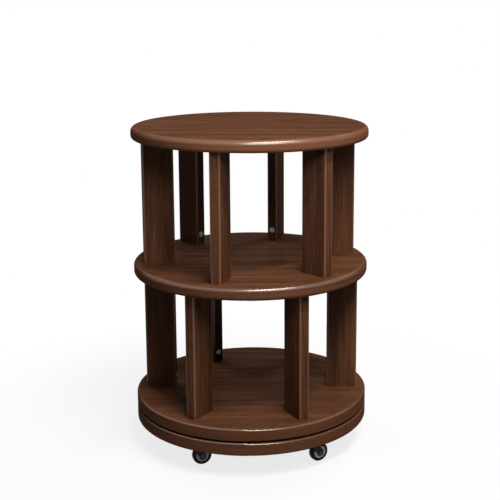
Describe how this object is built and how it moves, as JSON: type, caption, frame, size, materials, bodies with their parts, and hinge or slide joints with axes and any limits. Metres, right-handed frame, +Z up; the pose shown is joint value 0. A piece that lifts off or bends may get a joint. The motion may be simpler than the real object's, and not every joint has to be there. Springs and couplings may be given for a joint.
{
  "type": "revolving bookcase",
  "caption": "Round revolving bookcase: two open tiers of short radial uprights between dark wooden discs, turning on a base with swivel castors.",
  "frame": {"origin": "on the floor, on the axis that the bookcase turns about", "axes": "+Z up, -Y towards the front of the picture, +X to its right"},
  "size_m": [0.5, 0.5, 0.6865],
  "materials": {
    "walnut": "satin lacquer",
    "beech": "raw",
    "zinc_steel": "plated",
    "aluminium": "pressed sheet",
    "black_steel": "satin",
    "grey_plastic": "moulded",
    "black_rubber": "matte",
    "nylon": "moulded"
  },
  "bodies": {
    "base": {"base_disc": "walnut", "turntable_lower_ring": "aluminium", "lower_ring_screws": "zinc_steel", "castor_plate_1": "black_steel", "castor_plate_2": "black_steel", "castor_plate_3": "black_steel", "castor_plate_4": "black_steel", "castor_plate_5": "black_steel", "kingpin_1": "zinc_steel", "kingpin_2": "zinc_steel", "kingpin_3": "zinc_steel", "kingpin_4": "zinc_steel", "kingpin_5": "zinc_steel", "swivel_balls": "zinc_steel", "castor_screws": "zinc_steel"},
    "carousel": {"top_disc": "walnut", "middle_disc": "walnut", "bottom_shelf": "walnut", "upper_upright_1": "walnut", "upper_upright_2": "walnut", "upper_upright_3": "walnut", "upper_upright_4": "walnut", "upper_upright_5": "walnut", "upper_upright_6": "walnut", "lower_upright_1": "walnut", "lower_upright_2": "walnut", "lower_upright_3": "walnut", "lower_upright_4": "walnut", "lower_upright_5": "walnut", "lower_upright_6": "walnut", "cam_locks": "zinc_steel", "cam_bolts": "zinc_steel", "dowels": "beech", "turntable_upper_ring": "aluminium", "upper_ring_screws": "zinc_steel"},
    "cage": {"ball_cage": "nylon", "turntable_balls": "zinc_steel"},
    "castor_1": {"castor_fork_1": "black_steel", "axle_rivet_1": "zinc_steel"},
    "wheel_1": {"wheel_core_1": "grey_plastic", "tyre_1": "black_rubber"},
    "castor_2": {"castor_fork_2": "black_steel", "axle_rivet_2": "zinc_steel"},
    "wheel_2": {"wheel_core_2": "grey_plastic", "tyre_2": "black_rubber"},
    "castor_3": {"castor_fork_3": "black_steel", "axle_rivet_3": "zinc_steel"},
    "wheel_3": {"wheel_core_3": "grey_plastic", "tyre_3": "black_rubber"},
    "castor_4": {"castor_fork_4": "black_steel", "axle_rivet_4": "zinc_steel"},
    "wheel_4": {"wheel_core_4": "grey_plastic", "tyre_4": "black_rubber"},
    "castor_5": {"castor_fork_5": "black_steel", "axle_rivet_5": "zinc_steel"},
    "wheel_5": {"wheel_core_5": "grey_plastic", "tyre_5": "black_rubber"}
  },
  "joints": [
    {"name": "carousel_spin", "type": "hinge", "parent": "base", "child": "carousel", "pos_m": [0, 0, 0.0825], "axis": [0, 0, 1], "continuous": true},
    {"name": "cage_spin", "type": "hinge", "parent": "base", "child": "cage", "pos_m": [0, 0, 0.0825], "axis": [0, 0, 1], "continuous": true},
    {"name": "swivel_1", "type": "hinge", "parent": "base", "child": "castor_1", "pos_m": [-0.11122, -0.17458, 0.052], "axis": [0, 0, 1], "continuous": true},
    {"name": "roll_1", "type": "hinge", "parent": "castor_1", "child": "wheel_1", "pos_m": [-0.09695, -0.16995, 0.02], "axis": [-0.309, 0.9511, 0], "continuous": true},
    {"name": "swivel_2", "type": "hinge", "parent": "base", "child": "castor_2", "pos_m": [0.13167, -0.15973, 0.052], "axis": [0, 0, 1], "continuous": true},
    {"name": "roll_2", "type": "hinge", "parent": "castor_2", "child": "wheel_2", "pos_m": [0.14466, -0.15223, 0.02], "axis": [-0.5, 0.866, 0], "continuous": true},
    {"name": "swivel_3", "type": "hinge", "parent": "base", "child": "castor_3", "pos_m": [0.1926, 0.07587, 0.052], "axis": [0, 0, 1], "continuous": true},
    {"name": "roll_3", "type": "hinge", "parent": "castor_3", "child": "wheel_3", "pos_m": [0.20374, 0.0859, 0.02], "axis": [-0.6691, 0.7431, 0], "continuous": true},
    {"name": "swivel_4", "type": "hinge", "parent": "base", "child": "castor_4", "pos_m": [-0.01264, 0.20661, 0.052], "axis": [0, 0, 1], "continuous": true},
    {"name": "roll_4", "type": "hinge", "parent": "castor_4", "child": "wheel_4", "pos_m": [-0.00382, 0.21875, 0.02], "axis": [-0.809, 0.5878, 0], "continuous": true},
    {"name": "swivel_5", "type": "hinge", "parent": "base", "child": "castor_5", "pos_m": [-0.20041, 0.05183, 0.052], "axis": [0, 0, 1], "continuous": true},
    {"name": "roll_5", "type": "hinge", "parent": "castor_5", "child": "wheel_5", "pos_m": [-0.19431, 0.06553, 0.02], "axis": [-0.9135, 0.4067, 0], "continuous": true}
  ],
  "couplings": [
    {"joint": "cage_spin", "follows": "carousel_spin", "ratio": 0.50919}
  ]
}
